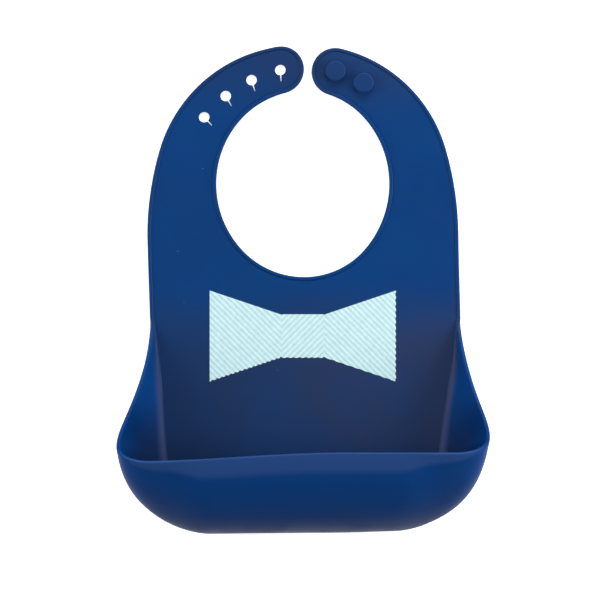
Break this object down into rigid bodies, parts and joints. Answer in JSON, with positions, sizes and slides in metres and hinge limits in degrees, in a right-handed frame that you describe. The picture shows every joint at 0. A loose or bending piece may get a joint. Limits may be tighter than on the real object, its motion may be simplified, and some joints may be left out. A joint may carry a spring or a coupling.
{
  "type": "silicone baby bib",
  "caption": "Soft silicone baby bib lying flat: oval neck opening, strap with sizing holes, strap with studs, printed striped bow tie and a scoop pocket that catches crumbs.",
  "frame": {"origin": "middle of the bib's box, on the surface that the bib's back lies on", "axes": "+X towards the strap with the studs, +Y from the pocket towards the neck opening, +Z out of the printed face, away from the surface it lies on"},
  "size_m": [0.222, 0.2966, 0.0501],
  "materials": {
    "silicone": "satin",
    "light_ink": "matte",
    "mint_ink": "matte"
  },
  "bodies": {
    "panel": {"bib_panel": "silicone", "pocket_left_side": "silicone", "pocket_right_side": "silicone", "bow_tie_left_wing": "light_ink", "bow_tie_knot": "light_ink", "bow_tie_right_wing": "light_ink", "bow_tie_stripes": "mint_ink"},
    "pocket_front": {"pocket_front": "silicone"},
    "yoke": {"neck_yoke": "silicone"},
    "holes_root": {"holes_strap_root": "silicone"},
    "holes_middle": {"holes_strap_middle": "silicone"},
    "holes_tip": {"holes_strap_tip": "silicone"},
    "studs_root": {"studs_strap_root": "silicone"},
    "studs_middle": {"studs_strap_middle": "silicone"},
    "studs_tip": {"studs_strap_tip": "silicone", "stud_outer": "silicone", "stud_inner": "silicone"}
  },
  "joints": [
    {"name": "pocket_front_fold", "type": "hinge", "parent": "panel", "child": "pocket_front", "pos_m": [0, -0.12884, 0.002], "axis": [-1, 0, 0], "range_deg": [0, 45], "stiffness_Nm_per_rad": 0.08},
    {"name": "neck_fold", "type": "hinge", "parent": "panel", "child": "yoke", "pos_m": [0, 0.00026, 0.0026], "axis": [1, 0, 0], "range_deg": [0, 90], "stiffness_Nm_per_rad": 0.06},
    {"name": "holes_strap_curl", "type": "hinge", "parent": "yoke", "child": "holes_root", "pos_m": [-0.073, 0.06316, 0.0026], "axis": [1, 0, 0], "range_deg": [0, 45], "stiffness_Nm_per_rad": 0.02},
    {"name": "holes_strap_curl_middle", "type": "hinge", "parent": "holes_root", "child": "holes_middle", "pos_m": [-0.06444, 0.09745, 0.0026], "axis": [0.8828, -0.4698, 0], "range_deg": [0, 45], "stiffness_Nm_per_rad": 0.02},
    {"name": "holes_strap_curl_tip", "type": "hinge", "parent": "holes_middle", "child": "holes_tip", "pos_m": [-0.03916, 0.12477, 0.0026], "axis": [0.5364, -0.844, 0], "range_deg": [0, 45], "stiffness_Nm_per_rad": 0.02},
    {"name": "studs_strap_curl", "type": "hinge", "parent": "yoke", "child": "studs_root", "pos_m": [0.073, 0.06316, 0.0026], "axis": [1, 0, 0], "range_deg": [0, 45], "stiffness_Nm_per_rad": 0.02},
    {"name": "studs_strap_curl_middle", "type": "hinge", "parent": "studs_root", "child": "studs_middle", "pos_m": [0.06614, 0.09406, 0.0026], "axis": [0.906, 0.4233, 0], "range_deg": [0, 45], "stiffness_Nm_per_rad": 0.02},
    {"name": "studs_strap_curl_tip", "type": "hinge", "parent": "studs_middle", "child": "studs_tip", "pos_m": [0.04688, 0.11911, 0.0026], "axis": [0.6422, 0.7665, 0], "range_deg": [0, 45], "stiffness_Nm_per_rad": 0.02}
  ],
  "couplings": [
    {"joint": "holes_strap_curl_middle", "follows": "holes_strap_curl", "ratio": 1},
    {"joint": "holes_strap_curl_tip", "follows": "holes_strap_curl", "ratio": 1},
    {"joint": "studs_strap_curl_middle", "follows": "studs_strap_curl", "ratio": 1},
    {"joint": "studs_strap_curl_tip", "follows": "studs_strap_curl", "ratio": 1}
  ]
}
